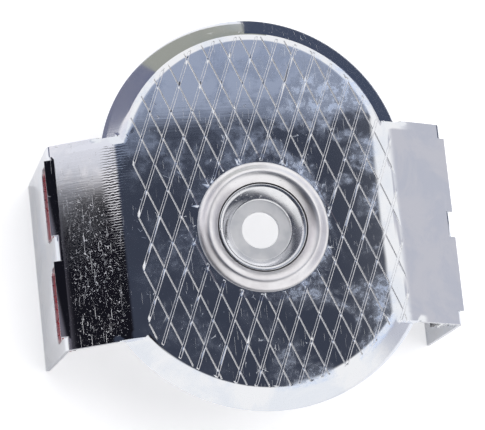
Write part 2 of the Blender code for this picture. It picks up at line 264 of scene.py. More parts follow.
# Each pair runs from the place where an effect begins to where it is complete.
WING_LEFT = (-34.5 * MM, -38.0 * MM)
BEND_IN = (-30.0 * MM, -35.0 * MM)
BEND_OUT = (-39.0 * MM, -36.0 * MM)
SCUFF_SIDE = (-47.5 * MM, -45.5 * MM)
SCUFF_REAR = (16.0 * MM, 6.0 * MM)
FEW_RIGHT = (36.0 * MM, 30.0 * MM)
HAZE_GROWTH = (-10.0 * MM, 20.0 * MM)
HAZE_RIGHT = (31.5 * MM, 29.0 * MM)
HAZE_LEFT = (-36.0 * MM, -30.0 * MM)
HAZE_HEIGHT = (TOP - 1.2 * MM, TOP - 0.4 * MM)
SKIRT_HEIGHT = (TOP - 0.5 * MM, TOP - 2.0 * MM)
SKIRT_END = (WING_HALF, WING_HALF + 0.3 * MM)

SLOW_WAVE = 0.006 * MM
ROLLED_LINE = 0.0005 * MM
RIPPLE = 0.0013 * MM
MARK_DEPTH = 0.03 * MM


def skin_of_shell():
    finish, tree, shader, place = start_material("mill_aluminium", ALUMINIUM, 1.0, 0.1)
    axes = add_node(tree, "ShaderNodeSeparateXYZ", {0: place})
    across, along, height = (axes.outputs[index] for index in range(3))
    left_bend = product(tree, ramp(tree, across, *BEND_IN), ramp(tree, across, *BEND_OUT))
    scuffed = product(tree, ramp(tree, across, *WING_LEFT), ramp(tree, across, *SCUFF_SIDE),
                      ramp(tree, along, *SCUFF_REAR))
    blotch = ramp(tree, noise(tree, place, 75.0, 5.0, 0.62, 0.5), 0.42, 0.62)
    cloud = ramp(tree, noise(tree, place, 420.0, 4.0, 0.7), 0.42, 0.62)
    fine = noise(tree, place, 1100.0, 3.0, 0.6)
    worn = ramp(tree, noise(tree, place, 45.0, 3.0), 0.42, 0.62)
    few = strongest(tree, [
        long_scratches(tree, place, 0.35, 5200.0, 160.0, 0.735),
        long_scratches(tree, place, -0.9, 4800.0, 140.0, 0.735),
        crossed_scratches(tree, place, 420.0, 0.030, 0.66)])
    few = product(tree, few, ramp(tree, worn, 0.0, 1.0, 0.03, 0.28),
                  ramp(tree, across, *FEW_RIGHT))
    many = strongest(tree, [
        crossed_scratches(tree, place, 700.0, 0.030, 0.62),
        crossed_scratches(tree, place, 1300.0, 0.045, 0.655),
        long_scratches(tree, place, 1.5, 5200.0, 150.0, 0.73)])
    specks = ramp(tree, noise(tree, place, 3800.0, 2.0, 0.5), 0.66, 0.78)
    many = math_node(tree, "MAXIMUM", many, product(tree, specks, 0.35))
    marks = math_node(tree, "MAXIMUM", few, product(tree, many, scuffed, 0.55))
    color = mix_color(tree, blotch, ALUMINIUM, (0.78, 0.81, 0.87))
    color = mix_color(tree, marks, color, (0.97, 0.97, 0.98))
    rough = ramp(tree, blotch, 0.0, 1.0, 0.028, 0.045, False)
    haze = product(tree, blotch, ramp(tree, cloud, 0.0, 1.0, 0.35, 1.0),
                   ramp(tree, across, *HAZE_GROWTH, 0.25, 1.0),
                   ramp(tree, across, *HAZE_RIGHT), ramp(tree, across, *HAZE_LEFT),
                   ramp(tree, height, *HAZE_HEIGHT))
    tree.links.new(ramp(tree, haze, 0.0, 1.0, 1.0, 0.86, False), shader.inputs["Metallic"])
    color = mix_color(tree, haze, color, (0.62, 0.71, 0.90))
    tree.links.new(color, shader.inputs["Base Color"])
    rough = math_node(tree, "ADD", rough, product(tree, haze, 0.25))
    on_lobes = ramp(tree, math_node(tree, "ABSOLUTE", along), *SKIRT_END)
    low_down = ramp(tree, height, *SKIRT_HEIGHT, 0.0, 0.07)
    rough = math_node(tree, "ADD", rough, product(tree, on_lobes, low_down))
    rough = math_node(tree, "ADD", rough, product(tree, fine, 0.012))
    rough = math_node(tree, "ADD", rough, product(tree, marks, 0.42))
    tree.links.new(rough, shader.inputs["Roughness"])
    slow = noise(tree, place, 62.0, 2.0, 0.4)
    rolled = noise(tree, stretch(tree, place, (60.0, 1700.0, 300.0)), 1.0, 2.0)
    ripple = add_node(tree, "ShaderNodeTexWave", {
        "Vector": place, "Scale": 480.0, "Distortion": 3.5, "Detail": 2.0,
        "Detail Scale": 2.2}, wave_type="BANDS", bands_direction="Y")
    rippled = product(tree, ripple.outputs["Fac"], left_bend)
    normal = bump(tree, slow, SLOW_WAVE)
    normal = bump(tree, rolled, ROLLED_LINE, below=normal)
    normal = bump(tree, rippled, RIPPLE, below=normal)
    normal = bump(tree, marks, -MARK_DEPTH, below=normal)
    tree.links.new(normal, shader.inputs["Normal"])
    return finish


FLOOR_RADIUS = (7.8 * MM, 7.4 * MM)


def satin_metal(name, light, dark, dull, floor_dull=None):
    """Metal that was drawn over a tool: stretched, so its skin is satin.

    `floor_dull` adds roughness on the cup's flat floor.
    """
    finish, tree, shader, place = start_material(name, light, 1.0, dull)
    grain = noise(tree, place, 700.0, 4.0, 0.6)
    patch = ramp(tree, noise(tree, place, 130.0, 3.0), 0.40, 0.66)
    tree.links.new(mix_color(tree, patch, light, dark), shader.inputs["Base Color"])
    rough = ramp(tree, patch, 0.0, 1.0, dull, dull + 0.08, False)
    marks = crossed_scratches(tree, place, 900.0, 0.04, 0.64)
    rough = math_node(tree, "ADD", rough, product(tree, marks, 0.12))
    if floor_dull:
        flat_way = add_node(tree, "ShaderNodeMapping", {"Vector": place, "Scale": (1, 1, 0)})
        radius = add_node(tree, "ShaderNodeVectorMath", {0: flat_way.outputs["Vector"]},
                          operation="LENGTH")
        on_floor = ramp(tree, radius.outputs["Value"], *FLOOR_RADIUS)
        rough = math_node(tree, "ADD", rough, product(tree, on_floor, floor_dull))
    tree.links.new(rough, shader.inputs["Roughness"])
    normal = bump(tree, grain, 0.006 * MM)
    tree.links.new(bump(tree, marks, -0.02 * MM, below=normal), shader.inputs["Normal"])
    return finish


skin_finish = skin_of_shell()
groove_finish = satin_metal("rolled_groove", (0.96, 0.96, 0.97), (0.84, 0.85, 0.88), 0.46)
drawn_finish = satin_metal("drawn_aluminium", (0.90, 0.89, 0.91), (0.80, 0.78, 0.80), 0.30)
cup_finish = satin_metal("drawn_cup_metal", (0.88, 0.88, 0.90), (0.76, 0.77, 0.80), 0.12, 0.42)
print("finishes:", skin_finish.name, groove_finish.name, drawn_finish.name, cup_finish.name)

# %% [markdown]
# ## The blank, part 1: hub and lobes
#
# The bead and the seat of the nail are turned shapes, so we draw half a section and spin it.
# The two round lobes are spun as well, but flat for now: their rings only mark where the
# metal will bend.  Each lobe is trimmed straight where the wings begin.
#
# The faces carry a zone number from the start, so that later cells know what they cut.

# %% Spinning helpers
def spin_profile(work, points, centre_y, steps):
    """Spin a row of points round a vertical axis; they are given as radius and height."""
    row = [work.verts.new((point[0], centre_y, point[1])) for point in points]
    edges = [work.edges.new(pair) for pair in zip(row, row[1:])]
    before = set(work.faces)
    bmesh.ops.spin(work, geom=row + edges, cent=(0.0, centre_y, 0.0), axis=(0.0, 0.0, 1.0),
                   angle=math.tau, steps=steps, use_merge=True)
    return [face for face in work.faces if face not in before]


def parts_of(faces):
    """The faces with their edges and corners, as bisect_plane wants them."""
    edges = {edge for face in faces for edge in face.edges}
    corners = {corner for face in faces for corner in face.verts}
    return list(faces) + list(edges) + list(corners)


# %% The hub: bead and seat
BEAD_WIDTH = 5.0 * MM
BEAD_HEIGHT = 1.5 * MM
SEAT_GAP = 0.3 * MM
BEAD_EDGE = LIP_RADIUS + SEAT_GAP + BEAD_WIDTH + 0.1 * MM
HUB_EDGE = 18.6 * MM
KNURL_END = 16.8 * MM            # where the grooves stop, a little before the bead
END_WALL = 0.12 * MM             # plan width of the wall that closes a groove
SEAT_DROP = CUP_WALL + SEAT_GAP
SEAT_HOLE = 6.17 * MM
SEAT_FLOOR = 8.0 * MM
SEAT_ROUND = 0.35 * MM
HUB_STEPS = 128
BEAD_STEPS = 18


def hub_profile():
    inner = LIP_RADIUS + SEAT_GAP
    half = BEAD_WIDTH / 2
    crest = inner + half
    points = [(HUB_EDGE, 0.0), (KNURL_END + END_WALL, 0.0), (KNURL_END, 0.0), (BEAD_EDGE, 0.0)]
    for step in range(BEAD_STEPS + 1):
        share = step / BEAD_STEPS
        height = BEAD_HEIGHT * (0.5 - 0.5 * math.cos(math.pi * share))
        points.append((crest + half * (1 - share), height))
    for step in range(1, BEAD_STEPS // 2 + 1):
        share = step / (BEAD_STEPS // 2)
        height = BEAD_HEIGHT * math.cos(math.pi / 2 * share)
        points.append((crest - half * share, height))
    points.append((inner, -SEAT_DROP * 0.8))
    points.append((inner - 0.2 * MM, -SEAT_DROP))
    points.append((inner - 1.5 * MM, -SEAT_DROP - SEAT_ROUND))
    points.append((SEAT_FLOOR + 0.3 * MM, -CUP_DEPTH - SEAT_DROP + SEAT_ROUND))
    points.append((SEAT_FLOOR, -CUP_DEPTH - SEAT_DROP))
    points.append((SEAT_HOLE, -CUP_DEPTH - SEAT_DROP))
    return points


ZONE_FLAT, ZONE_LOBE, ZONE_HUB, ZONE_GROOVE = 0, 1, 2, 3
sheet = bmesh.new()
for face in spin_profile(sheet, hub_profile(), 0.0, HUB_STEPS):
    face.material_index = ZONE_HUB
print("hub:", len(sheet.faces), "faces")

# %% The lobes: flat rings, trimmed where the wings start
LOBE_STEPS = 220
SHOULDER_STEPS = 9
SKIRT_STEPS = 4


def lobe_radii(rim):
    start = rim - SKIRT_WIDTH
    turn = SHOULDER_RADIUS * math.sin(SKIRT_SLOPE)
    radii = [start - 0.25 * MM]
    for step in range(SHOULDER_STEPS + 1):
        radii.append(start + turn * step / SHOULDER_STEPS)
    for step in range(1, SKIRT_STEPS + 1):
        radii.append(start + turn + (SKIRT_WIDTH - turn) * step / SKIRT_STEPS)
    return radii


for sign, (centre_y, rim) in LOBES.items():
    ring = spin_profile(sheet, [(radius, 0.0) for radius in lobe_radii(rim)], centre_y,
                        LOBE_STEPS)
    for face in ring:
        face.material_index = ZONE_LOBE
    bmesh.ops.bisect_plane(sheet, geom=parts_of(ring), dist=CUT_REACH,
                           clear_inner=True, plane_co=(0.0, sign * WING_HALF, 0.0),
                           plane_no=(0.0, sign, 0.0))
print("with lobes:", len(sheet.faces), "faces")

# %% [markdown]
# ## The blank, part 2: the flat middle
#
# What is left between the lobes, the hub and the wings' straight edges is one flat region
# with a hole in it.  `triangle_fill` fills such a region from its border edges alone, and
# because it uses the lobes' and the hub's own edges, there is no seam to weld afterwards.

# %% Fill the flat region
FOLD_START = HALF_SPAN - FOLD_RADIUS + FOLD_RADIUS * math.sin(WING_SLOPE)


def rim_reach(sign):
    """How far out the lobe's rim meets the line where the wing starts."""
    centre_y, rim = LOBES[sign]
    return math.sqrt(rim ** 2 - (sign * WING_HALF - centre_y) ** 2)


def is_rim(edge):
    middle = (edge.verts[0].co + edge.verts[1].co) / 2
    centre_y, rim = LOBES[1 if middle.y > 0 else -1]
    return math.hypot(middle.x, middle.y - centre_y) > rim - 0.1 * MM


def nearest_corner(x, y):
    goal = Vector((x, y, 0.0))
    return min((v for v in sheet.verts if v.is_boundary), key=lambda v: (v.co - goal).length)


border = [edge for edge in sheet.edges if edge.is_boundary and not is_rim(edge)
          and edge.verts[0].co.length > HUB_EDGE - 0.1 * MM]
for way in (-1, 1):
    corners = [nearest_corner(way * rim_reach(-1), -WING_HALF)]
    corners += [sheet.verts.new((way * FOLD_START, y, 0.0)) for y in (-WING_HALF, WING_HALF)]
    corners.append(nearest_corner(way * rim_reach(1), WING_HALF))
    border += [sheet.edges.new(pair) for pair in zip(corners, corners[1:])]
filled = bmesh.ops.triangle_fill(sheet, edges=border, use_beauty=True, normal=(0, 0, 1))
for item in filled["geom"]:
    if isinstance(item, bmesh.types.BMFace):
        item.material_index = ZONE_FLAT
print("blank:", len(sheet.faces), "faces, open edges",
      sum(edge.is_boundary for edge in sheet.edges))

# %% [markdown]
# ## Scoring the blank
#
# A press bends metal along lines, and a mesh can only bend where it has edges.  So we score
# the flat blank first: `bisect_plane` draws a straight line of new edges across the faces it
# is given.  Bend lines come first, because they keep the later knurl lines short.  Smooth
# shading blends over a whole face, so extra lines stand close beside every bend.

# %% Score the bend lines and the windows' ends
BRIDGE = 6.5 * MM
WINDOW_LENGTH = WING_HALF - 3.5 * MM - BRIDGE / 2
WEB_LENGTH = 2.3 * MM            # how far a wing's end dips to meet the lower skirt
WEB_ROWS = (-0.15, 0.0, 0.2, 0.4, 0.6, 0.86)
WEB_NEAR = 27.0 * MM             # the webs lie farther from the middle plane than this
RIM_FADE = 2.0 * MM
BEND_STEPS = 14
AFTER_BEND = (0.6, 1.2, 1.8, 2.6, 4.5)
BEFORE_FOLD = (3.5, 2.6, 1.8, 1.1, 0.5)


def score(point, normal, keep):
    """Draw one straight line over the faces that pass the test."""
    faces = [face for face in sheet.faces if keep(face)]
    bmesh.ops.bisect_plane(sheet, geom=parts_of(faces), dist=CUT_REACH, plane_co=point,
                           plane_no=normal)


def on_flat(face):
    return face.material_index == ZONE_FLAT


bend_turn = BEND_RADIUS * math.sin(WING_SLOPE)
bend_lines = [BEND_START - 0.3 * MM]
bend_lines += [BEND_START + bend_turn * step / BEND_STEPS for step in range(BEND_STEPS + 1)]
bend_lines += [BEND_START + bend_turn + past * MM for past in AFTER_BEND]
bend_lines += [FOLD_START - back * MM for back in BEFORE_FOLD]
for way in (-1, 1):
    for x in bend_lines:
        score((way * x, 0, 0), (way, 0, 0), on_flat)
    for y in (BRIDGE / 2, BRIDGE / 2 + WINDOW_LENGTH):
        for sign in (-1, 1):
            score((0, sign * y, 0), (0, 1, 0), lambda face: on_flat(face)
                  and way * face.calc_center_median().x > bend_lines[-1])
for sign in (-1, 1):
    for share in WEB_ROWS:
        y = WING_HALF - WEB_LENGTH * (1 - share)
        score((0, sign * y, 0), (0, 1, 0), lambda face: on_flat(face)
              and abs(face.calc_center_median().x) > WEB_NEAR)
print("scored for bending:", len(sheet.faces), "faces")

# %% [markdown]
# ## The knurl
#
# Two families of grooves cross in long diamonds.  One family is a pair of close lines with a
# flat floor between them, the other a single fine V.  Each groove gets a line of edges at
# every corner of its section, and then every corner of the mesh is pushed down by a depth
# that is worked out from its distance to the nearest groove.  The grooves stop at a small
# wall just before the bead, and the steep faces get the rolled finish.

# %% Score and press the knurl
DIAMOND_WIDTH = 5.315 * MM
KNURL_ORIGIN = Vector((-3.95 * MM, 43.12 * MM))
KNURL_LEAN = math.atan2(-0.1147, 5.3135)
DOUBLE_WAY = Vector((-2.692, -6.492)).normalized()
SINGLE_WAY = Vector((2.622, -6.607)).normalized()

# A section is a row of (distance from the groove's middle in mm, share of the full depth).
DOUBLE_SECTION = ((-0.36, 0.0), (-0.22, 1.0), (0.22, 1.0), (0.36, 0.0))
SINGLE_SECTION = ((-0.19, 0.0), (0.0, 1.0), (0.19, 0.0))
KNURL_DEPTH = 0.14 * MM
WALL_SLOPE = math.radians(12.0)
KNURL_LEFT = -30.6 * MM
KNURL_RIGHT = 34.6 * MM
KNURL_PAST = 1.0 * MM            # how far the knurl runs on over the lobes' shoulders
KNURL_COUNT = 19                 # grooves on each side of the first one


def groove_depth(distance, section):
    """Depth, from 0 to 1, at a signed distance from a groove's middle."""
    for (near, shallow), (far, deep) in zip(section, section[1:]):
        if near * MM <= distance <= far * MM:
            return shallow + (deep - shallow) * (distance / MM - near) / (far - near)
    return 0.0


def family_depth(point, way, section):
    normal = Vector((-way.y, way.x))
    step = abs(normal.dot(Vector((math.cos(KNURL_LEAN), math.sin(KNURL_LEAN))))) * DIAMOND_WIDTH
    distance = (point - KNURL_ORIGIN).dot(normal)
    distance -= round(distance / step) * step
    return groove_depth(distance, section)


def past_shoulder(x, y):
    """How far out a place lies from where its lobe's shoulder begins."""
    centre_y, rim = LOBES[1 if y > 0 else -1]
    return math.hypot(x, y - centre_y) - (rim - SKIRT_WIDTH)


def is_knurled(x, y):
    if not KNURL_LEFT < x < KNURL_RIGHT or math.hypot(x, y) < KNURL_END + END_WALL / 2:
        return False
    return abs(y) < WING_HALF or past_shoulder(x, y) < KNURL_PAST


def may_be_scored(face):
    """A little more than the knurled area, so that its border gets lines as well."""
    centre = face.calc_center_median()
    if not KNURL_LEFT - 1 * MM < centre.x < KNURL_RIGHT + 1 * MM:
        return False
    if face.material_index == ZONE_HUB:
        return centre.xy.length > KNURL_END
    return past_shoulder(centre.x, centre.y) < KNURL_PAST + 0.4 * MM or on_flat(face)


across = Vector((math.cos(KNURL_LEAN), math.sin(KNURL_LEAN))) * DIAMOND_WIDTH
for way, section in ((DOUBLE_WAY, DOUBLE_SECTION), (SINGLE_WAY, SINGLE_SECTION)):
    normal = Vector((-way.y, way.x))
    for index in range(-KNURL_COUNT, KNURL_COUNT + 1):
        for offset, _ in section:
            point = KNURL_ORIGIN + across * index + normal * offset * MM
            score((*point, 0), (*normal, 0), may_be_scored)
for corner in sheet.verts:
    if is_knurled(corner.co.x, corner.co.y):
        depth = max(family_depth(corner.co.xy, DOUBLE_WAY, DOUBLE_SECTION),
                    family_depth(corner.co.xy, SINGLE_WAY, SINGLE_SECTION))
        corner.co.z -= KNURL_DEPTH * depth
sheet.normal_update()
for face in sheet.faces:
    if face.material_index != ZONE_HUB and abs(face.normal.z) < math.cos(WALL_SLOPE):
        face.material_index = ZONE_GROOVE
print("knurled:", len(sheet.faces), "faces")

# %% [markdown]
# ## Pressing
#
# One function says how far the tool pushes the sheet down at any place: the wings follow a
# bend and a slope, the lobes a shoulder and a skirt.  Where a wing ends beside the lower
# skirt, the metal is drawn down over a couple of millimetres, first gently and then steeply,
# and that leaves a small web in the corner.

# %% Press the heights
WEB_TILT = math.radians(20.0)    # a wing's end dips gently before it drops to the skirt
ROLL_WIDTH = 3.5 * MM            # the wing begins to roll over before its fold
FOLD_ROLL = 7.0                  # drop per square metre of that roll's width


def fall(past, radius, slope):
    """Drop of a surface that rounds a shoulder and then runs straight down."""
    if past <= 0:
        return 0.0
    turn = radius * math.sin(slope)
    rounded = min(past, turn)
    drop = radius - math.sqrt(radius ** 2 - rounded ** 2)
    return drop + max(past - turn, 0.0) * math.tan(slope)


def press_drop(x, y):
    sign = 1 if y > 0 else -1
    centre_y, rim = LOBES[sign]
    radius = min(math.hypot(x, y - centre_y), rim)
    skirt = fall(radius - (rim - SKIRT_WIDTH), SHOULDER_RADIUS, SKIRT_SLOPE)
    if abs(y) > WING_HALF + NEAR / 10:
        return skirt
    wing = fall(abs(x) - BEND_START, BEND_RADIUS, WING_SLOPE)
    wing += FOLD_ROLL * max(abs(x) - FOLD_START + ROLL_WIDTH, 0.0) ** 2
    share = min(max((abs(y) - WING_HALF + WEB_LENGTH) / WEB_LENGTH, 0.0), 1.0)
    fade = min(max((abs(x) - rim_reach(sign)) / RIM_FADE, 0.0), 1.0)
    step_down = max(skirt - wing, 0.0) * (1.0 - fade)
    gentle = min(step_down, min(share, WEB_ROWS[-1]) * WEB_LENGTH * math.tan(WEB_TILT))
    steep = max(share - WEB_ROWS[-1], 0.0) / (1.0 - WEB_ROWS[-1])
    return wing + gentle + (step_down - gentle) * steep


for corner in sheet.verts:
    corner.co.z -= press_drop(corner.co.x, corner.co.y)
print("lowest point of the pressed sheet",
      round(min(corner.co.z for corner in sheet.verts) / MM, 2), "mm below the top")

# %% [markdown]
# ## Folding the end panels
#
# The wings' straight borders are spun a few degrees at a time round the fold's centre, which
# is what a folding machine does, and then extruded straight down.  The windows are the faces
# we delete again.  Over each window the sheet isn't folded: it runs on as a short hood.

# %% Fold, drop the panels, open the windows, add the hoods
FOLD_STEPS = 7
WINDOW_HEIGHT = 11.0 * MM
WINDOW_CORNER = 2.0 * MM
CORNER_CUTS = 5
PANEL_TAPER = 1.463 * MM
HOOD_REACH = 0.92 * MM
HOOD_SLOPE = math.radians(23.0)
fold_z = -fall(FOLD_START - BEND_START, BEND_RADIUS, WING_SLOPE) - FOLD_ROLL * ROLL_WIDTH ** 2
fold_centre_z = fold_z - FOLD_RADIUS * math.cos(WING_SLOPE)
fold_corner_z = fold_z - (HALF_SPAN - FOLD_START) * math.tan(WING_SLOPE)
window_base_z = fold_corner_z - WINDOW_HEIGHT


def over_window(y):
    return BRIDGE / 2 < abs(y) < BRIDGE / 2 + WINDOW_LENGTH


def side_edges(way):
    return [edge for edge in sheet.edges if edge.is_boundary
            and all(way * v.co.x > FOLD_START - NEAR for v in edge.verts)]


def round_window_corners(way, sign):
    """Cut the window's lower corners off with lines that touch a circle."""
    for y, turn_way in ((BRIDGE / 2, 1), (BRIDGE / 2 + WINDOW_LENGTH, -1)):
        middle = Vector((way * HALF_SPAN, sign * (y + turn_way * WINDOW_CORNER),
                         window_base_z + WINDOW_CORNER))
        for cut in range(CORNER_CUTS):
            angle = math.pi / 2 * (cut + 0.5) / CORNER_CUTS
            out = Vector((0.0, -sign * turn_way * math.cos(angle), -math.sin(angle)))
            inside = [f for f in sheet.faces if is_window(f, way, sign)]
            window = max(inside, key=lambda f: f.calc_area())
            bmesh.ops.bisect_plane(sheet, geom=parts_of([window]), dist=CUT_REACH,
                                   plane_co=middle + out * WINDOW_CORNER, plane_no=out)


def is_window(face, way, sign):
    centre = face.calc_center_median()
    return (way * centre.x > HALF_SPAN - NEAR and sign * centre.y > 0
            and over_window(centre.y) and centre.z > window_base_z)


for way in (-1, 1):
    edges = side_edges(way)
    corners = list({v for edge in edges for v in edge.verts})
    bent = bmesh.ops.spin(sheet, geom=corners + edges,
                          cent=(way * (HALF_SPAN - FOLD_RADIUS), 0, fold_centre_z),
                          axis=(0, way, 0), angle=math.pi / 2 - WING_SLOPE, steps=FOLD_STEPS)
    edges = [item for item in bent["geom_last"] if isinstance(item, bmesh.types.BMEdge)]
    for level in (window_base_z, -TOP):
        drawn = bmesh.ops.extrude_edge_only(sheet, edges=edges)["geom"]
        edges = [item for item in drawn if isinstance(item, bmesh.types.BMEdge)]
        for corner in {v for edge in edges for v in edge.verts}:
            share = (fold_centre_z - level) / (fold_centre_z + TOP)
            near_end = max(abs(corner.co.y) - WING_HALF + WEB_LENGTH, 0.0) / WEB_LENGTH
            corner.co.y -= math.copysign(PANEL_TAPER * share * near_end, corner.co.y)
            corner.co.z = level
    for sign in (-1, 1):
        round_window_corners(way, sign)
        panes = [face for face in sheet.faces if is_window(face, way, sign)]
        pane = max(panes, key=lambda face: face.calc_area())
        folds = [face for face in sheet.faces
                 if way * face.calc_center_median().x > FOLD_START + NEAR
                 and face.calc_center_median().z > fold_centre_z - NEAR
                 and over_window(face.calc_center_median().y)
                 and sign * face.calc_center_median().y > 0]
        bmesh.ops.delete(sheet, geom=[pane] + folds, context="FACES")
        lips = [edge for edge in sheet.edges if edge.is_boundary
                and all(abs(way * v.co.x - FOLD_START) < NEAR for v in edge.verts)
                and over_window(sum(v.co.y for v in edge.verts) / 2)
                and sign * edge.verts[0].co.y > 0]
        drawn = bmesh.ops.extrude_edge_only(sheet, edges=lips)["geom"]
        run = HALF_SPAN + HOOD_REACH - FOLD_START
        ends = [item for item in drawn if isinstance(item, bmesh.types.BMVert)]
        bmesh.ops.translate(sheet, verts=ends,
                            vec=(way * run, 0.0, -run * math.tan(HOOD_SLOPE)))
print("folded:", len(sheet.faces), "faces")

# %% [markdown]
# ## Giving the sheet its wall
#
# A Solidify modifier offsets the finished surface by one sheet thickness.  Its rim gets a
# finish of its own, because a sheared edge is rougher than the rolled skin.  The rim takes the
# next material slot after its face's, and so sheared metal stands twice in the list.  We bake the
# modifier into the mesh and then bevel only the border between skin and rim, which leaves the
# knurl's fine edges alone.

# %% Wall, broken edges and the finished shell
SMOOTH_LIMIT = math.radians(31.0)
EDGE_BREAK = 0.13 * MM


def finish_object(name, mesh, slot, *nodes):
    """Put a finished mesh in the scene, in place of the frame's plain nodes."""
    mesh.name = name
    item = bpy.data.objects.new(name, mesh)
    bpy.context.scene.collection.objects.link(item)
    mesh.shade_smooth()
    mesh.set_sharp_from_angle(angle=SMOOTH_LIMIT)
    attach(item, "root")
    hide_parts(*nodes)
    print(name, "has", sum(len(p.vertices) - 2 for p in mesh.polygons), "triangles")


def sheared_finish():
    finish, tree, shader, place = start_material("sheared_edge", (0.62, 0.63, 0.66), 1.0, 0.3)
    lines = noise(tree, stretch(tree, place, (900.0, 900.0, 4000.0)), 1.0, 3.0)
    tree.links.new(ramp(tree, lines, 0.3, 0.7, 0.22, 0.42), shader.inputs["Roughness"])
    tone = mix_color(tree, lines, (0.55, 0.56, 0.60), (0.74, 0.75, 0.78))
    tree.links.new(tone, shader.inputs["Base Color"])
    tree.links.new(bump(tree, lines, 0.02 * MM), shader.inputs["Normal"])
    return finish


def wall_of(work, name, thickness):
    """Solidify an open surface with the rim in its own material, and bake it."""
    mesh = bpy.data.meshes.new(name)
    work.to_mesh(mesh)
    work.free()
    source = bpy.data.objects.new(name, mesh)
    bpy.context.scene.collection.objects.link(source)
    sheared = sheared_finish()
    for finish in (skin_finish, sheared, groove_finish, drawn_finish, sheared):
        mesh.materials.append(finish)
    wall = source.modifiers.new("Wall", "SOLIDIFY")
    wall.thickness = thickness
    wall.offset = -1.0
    wall.use_even_offset = True
    wall.thickness_clamp = 0.0
    wall.material_offset_rim = 1
    baked = bpy.data.meshes.new_from_object(
        source.evaluated_get(bpy.context.evaluated_depsgraph_get()))
    bpy.data.objects.remove(source, do_unlink=True)
    bpy.data.meshes.remove(mesh)
    return baked


bmesh.ops.recalc_face_normals(sheet, faces=sheet.faces)
if sum(face.normal.z * face.calc_area() for face in sheet.faces) < 0:
    bmesh.ops.reverse_faces(sheet, faces=sheet.faces)
SKIN, SHEARED, GROOVE, DRAWN, HOLE_RIM = range(5)
for face in sheet.faces:
    inner = face.calc_center_median().xy.length < BEAD_EDGE + 0.05 * MM
    groove = face.material_index == ZONE_GROOVE
    face.material_index = DRAWN if inner else GROOVE if groove else SKIN
bmesh.ops.translate(sheet, verts=sheet.verts, vec=(0.0, HUB.y, TOP))
shell_mesh = wall_of(sheet, "pressed_shell", SHEET)

solid = bmesh.new()
solid.from_mesh(shell_mesh)
cut_edges = [edge for edge in solid.edges
             if sum(face.material_index in (SHEARED, HOLE_RIM) for face in edge.link_faces) == 1]
bmesh.ops.bevel(solid, geom=cut_edges, offset=EDGE_BREAK, offset_type="OFFSET", segments=3,
                profile=0.5, affect="EDGES", clamp_overlap=True, material=-1)
print("open edges after the wall:", sum(not edge.is_manifold for edge in solid.edges))
solid.to_mesh(shell_mesh)
solid.free()
finish_object("pressed_shell", shell_mesh, "shell_aluminium", "shell")

# %% [markdown]
# ## The nail cup
#
# The cup is a small deep-drawn ring: a rolled lip, a cone and a flat floor round the hole.
# We spin its closed section in one go, and bevel the sharp rings.

# %% The nail cup
NAIL_HOLE = 4.6 * MM
CUP_FLOOR = 7.77 * MM
LIP_WIDTH = 0.8 * MM
RING_ROUND = 0.12 * MM
RING_TURN = math.radians(20.0)


def cup_section():
    """The closed section, with extra points beside each ring that will be rounded."""
    lip_end = LIP_RADIUS - LIP_WIDTH
    floor = -CUP_DEPTH
    upper = [(NAIL_HOLE, floor), (NAIL_HOLE + 0.4 * MM, floor),
             (CUP_FLOOR - 0.6 * MM, floor), (CUP_FLOOR - 0.2 * MM, floor),
             (CUP_FLOOR + 0.2 * MM, floor + 0.4 * MM), (lip_end - 0.4 * MM, -0.4 * MM),
             (lip_end, -0.06 * MM), (LIP_RADIUS - 0.15 * MM, 0.0), (LIP_RADIUS, -0.15 * MM)]
    lower = [(LIP_RADIUS, -CUP_WALL), (lip_end + 0.3 * MM, -CUP_WALL),
             (CUP_FLOOR + 0.6 * MM, floor - CUP_WALL + 0.35 * MM),
             (CUP_FLOOR + 0.2 * MM, floor - CUP_WALL), (NAIL_HOLE, floor - CUP_WALL)]
    return upper + lower


cup = bmesh.new()
section = cup_section()
spin_profile(cup, section + section[:1], 0.0, HUB_STEPS)
bmesh.ops.remove_doubles(cup, verts=cup.verts, dist=1e-6)
bmesh.ops.recalc_face_normals(cup, faces=cup.faces)
rings = [edge for edge in cup.edges if edge.calc_face_angle(0.0) > RING_TURN]
bmesh.ops.bevel(cup, geom=rings, offset=RING_ROUND, offset_type="OFFSET", segments=3,
                profile=0.5, affect="EDGES", clamp_overlap=True, material=-1)
bmesh.ops.translate(cup, verts=cup.verts, vec=(0.0, HUB.y, TOP))
cup_mesh = bpy.data.meshes.new("nail_cup_turned")
cup.to_mesh(cup_mesh)
cup.free()
cup_mesh.materials.append(cup_finish)
finish_object("nail_cup_turned", cup_mesh, "cup_metal", "nail_cup")

# %% [markdown]
# ## Reflector plates
#
# A reflector is a moulded plate whose face is a field of shallow pyramids inside a smooth
# frame.  The face is inset for the frame, cut into a grid of squares, and each square is poked:
# the `poke` operator fans a face out from its middle and lifts that middle, which is a pyramid.

# %% Reflector finish and plates
def reflector_finish(name, tone, deep):
    finish, tree, shader, place = start_material(name, tone, 0.0, 0.12)
    cloud = noise(tree, place, 240.0, 3.0)
    color = mix_color(tree, ramp(tree, cloud, 0.35, 0.65), tone, deep)
    tree.links.new(color, shader.inputs["Base Color"])
    dust = noise(tree, place, 1600.0, 4.0, 0.7)
    tree.links.new(ramp(tree, dust, 0.45, 0.75, 0.08, 0.34), shader.inputs["Roughness"])
    tree.links.new(bump(tree, dust, 0.006 * MM), shader.inputs["Normal"])
    shader.inputs["Coat Weight"].default_value = 0.7
    shader.inputs["Coat Roughness"].default_value = 0.06
    return finish


